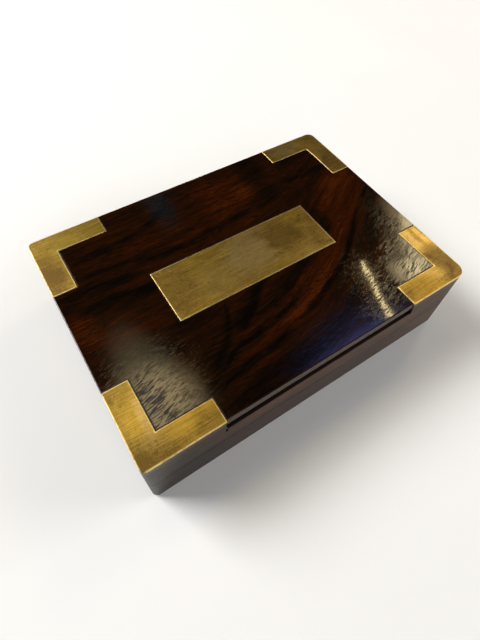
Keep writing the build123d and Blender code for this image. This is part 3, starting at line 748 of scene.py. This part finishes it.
world = bpy.data.worlds.new("studio")
bpy.context.scene.world = world
world.use_nodes = True
wt = world.node_tree
wt.nodes.clear()
wo = wt.nodes.new("ShaderNodeOutputWorld")
bg = wt.nodes.new("ShaderNodeBackground")
tc = wt.nodes.new("ShaderNodeTexCoord")
sep = wt.nodes.new("ShaderNodeSeparateXYZ")
rp = wt.nodes.new("ShaderNodeValToRGB")
wt.links.new(tc.outputs["Generated"], sep.inputs[0])
wt.links.new(sep.outputs[2], rp.inputs[0])
e = rp.color_ramp.elements
e[0].position, e[0].color = 0.0, (0.62, 0.62, 0.62, 1)
e[1].position, e[1].color = 0.26, (0.28, 0.28, 0.28, 1)
for p, k in ((0.50, 0.012), (1.0, 0.008)):
    e.new(p).color = (k, k * 0.95, k * 0.9, 1)
wt.links.new(rp.outputs[0], bg.inputs[0])
bg.inputs[1].default_value = 1.0
wt.links.new(bg.outputs[0], wo.inputs[0])


def area(name, at, aim, size, watts, colour=(1, 1, 1), spin=0.0):
    d = bpy.data.lights.new(name, "AREA")
    d.shape = "RECTANGLE"
    d.size, d.size_y = size
    d.energy = watts
    d.color = colour
    o = bpy.data.objects.new(name, d)
    bpy.context.scene.collection.objects.link(o)
    o.location = at
    q = (Vector(aim) - Vector(at)).to_track_quat("-Z", "Y")
    o.rotation_mode = "QUATERNION"
    o.rotation_quaternion = q @ Matrix.Rotation(spin, 4, "Z").to_quaternion()
    return o


def mirror_at(px, py, reach):
    """Where a light stands for the lid to mirror it at (px, py) towards the camera."""
    c = Vector((pos.x, pos.y, 2 * H_MM * MM - pos.z))
    p = Vector((px * MM, py * MM, H_MM * MM))
    return p + (p - c) * reach


def soften(light, core):
    """Lets an area light fade from its middle to its edges."""
    light.use_nodes = True
    t = light.node_tree
    t.nodes.clear()
    out = t.nodes.new("ShaderNodeOutputLight")
    em = t.nodes.new("ShaderNodeEmission")
    geo = t.nodes.new("ShaderNodeNewGeometry")
    off = t.nodes.new("ShaderNodeVectorMath")
    off.operation = "SUBTRACT"
    off.inputs[1].default_value = (0.5, 0.5, 0.0)
    t.links.new(geo.outputs["Parametric"], off.inputs[0])
    size = t.nodes.new("ShaderNodeVectorMath")
    size.operation = "LENGTH"
    t.links.new(off.outputs[0], size.inputs[0])
    fade = t.nodes.new("ShaderNodeMapRange")
    fade.interpolation_type = "SMOOTHSTEP"
    for k, x in zip(("From Min", "From Max", "To Min", "To Max"), (0.5 * core, 0.5, 1.0, 0.0)):
        fade.inputs[k].default_value = x
    t.links.new(size.outputs["Value"], fade.inputs["Value"])
    t.links.new(fade.outputs[0], em.inputs["Strength"])
    em.inputs["Color"].default_value = (1, 1, 1, 1)
    t.links.new(em.outputs[0], out.inputs[0])


def mirror_card(name, quad, reach, radiance, colour=(1, 1, 1), core=None):
    """A rectangular light whose mirror image covers the four lid points of quad."""
    pts = [mirror_at(a, b, reach) for a, b in quad]
    mid = sum(pts, Vector()) / 4
    ux = ((pts[1] - pts[0]) + (pts[2] - pts[3])) / 2
    uy = ((pts[3] - pts[0]) + (pts[2] - pts[1])) / 2
    if uy.length > ux.length:
        ux, uy = uy, ux
    sx, sy = ux.length, (uy - ux.normalized() * uy.dot(ux.normalized())).length
    ex = ux.normalized()
    ey = (uy - ex * uy.dot(ex)).normalized()
    ez = ex.cross(ey)
    if ez.z < 0:
        ey, ez = -ey, -ez
    d = bpy.data.lights.new(name, "AREA")
    d.shape = "RECTANGLE"
    d.size, d.size_y = sx, sy
    d.energy = radiance * sx * sy * math.pi
    d.color = colour
    if core is not None:
        soften(d, core)
    o = bpy.data.objects.new(name, d)
    bpy.context.scene.collection.objects.link(o)
    o.matrix_world = Matrix((
        (ex.x, ey.x, ez.x, mid.x),
        (ex.y, ey.y, ez.y, mid.y),
        (ex.z, ey.z, ez.z, mid.z),
        (0, 0, 0, 1)))
    return o


WARM = (1.0, 0.80, 0.42)
mirror_card("glare_left", [(-80, -60), (-41, -60), (-43, -16), (-78, -16)], 6.0, 5.6, WARM, core=0.30)
mirror_card("glare_left_neck", [(-76, -42), (-46, -42), (-50, 3), (-70, 3)], 6.1, 1.05, (1.0, 0.82, 0.46), core=0.1)
mirror_card("glare_right", [(46, -49), (76, -13), (100, -32), (70, -69)], 6.0, 7.4, WARM)
mirror_card("glare_right_heel", [(46, -48), (62, -48), (62, -32), (46, -32)], 6.1, 6.0, WARM, core=0.5)
mirror_card("glare_right_soft", [(42, -54), (76, -4), (104, -32), (76, -72)], 6.2, 1.6, WARM, core=0.4)
mirror_card("glare_right_edge", [(66, -30), (88, -30), (88, 2), (70, 2)], 5.5, 2.4, WARM, core=0.35)
mirror_card("glare_right_haze", [(30, -64), (66, 6), (120, -24), (92, -90)], 6.3, 1.05, (1.0, 0.80, 0.45), core=0.45)
mirror_card("glare_streak", [(30.4, -54), (33.6, -54), (41.2, -27), (40.0, -27)], 5.9, 23.0, (1.0, 0.79, 0.38))
mirror_card("glare_blue", [(-27, -72), (58, -72), (54, -48.8), (-23, -48.8)], 5.8, 2.1, (0.16, 0.32, 1.0), core=0.10)
mirror_card("glare_blue_rim", [(-25, -62), (50, -62), (48, -52.0), (-22, -52.0)], 5.6, 1.7, (0.05, 0.22, 1.0), core=0.3)
mirror_card("glare_violet", [(-26, -88), (64, -88), (64, -34), (-26, -34)], 5.7, 0.38, (0.52, 0.46, 1.0), core=0.2)
mirror_card("glare_back", [(-27, 26), (-9, 26), (-9, 70), (-27, 70)], 5.9, 0.20, (0.72, 0.82, 1.0), core=0.0)

area("main", (-0.86, 0.95, 1.19), (0, 0, 0), (0.9, 0.8), 34.0, (1.0, 0.99, 0.97))
area("right_fill", (1.45, -0.55, 0.62), (0, 0, 0.02), (0.9, 0.8), 13.0, (1.0, 1.0, 0.985))
area("front_fill", (-0.25, -1.55, 0.95), (0, 0, 0), (1.2, 0.9), 6.0, (1.0, 1.0, 0.985))

bpy.context.scene.view_settings.view_transform = "Standard"
bpy.context.scene.view_settings.look = "None"
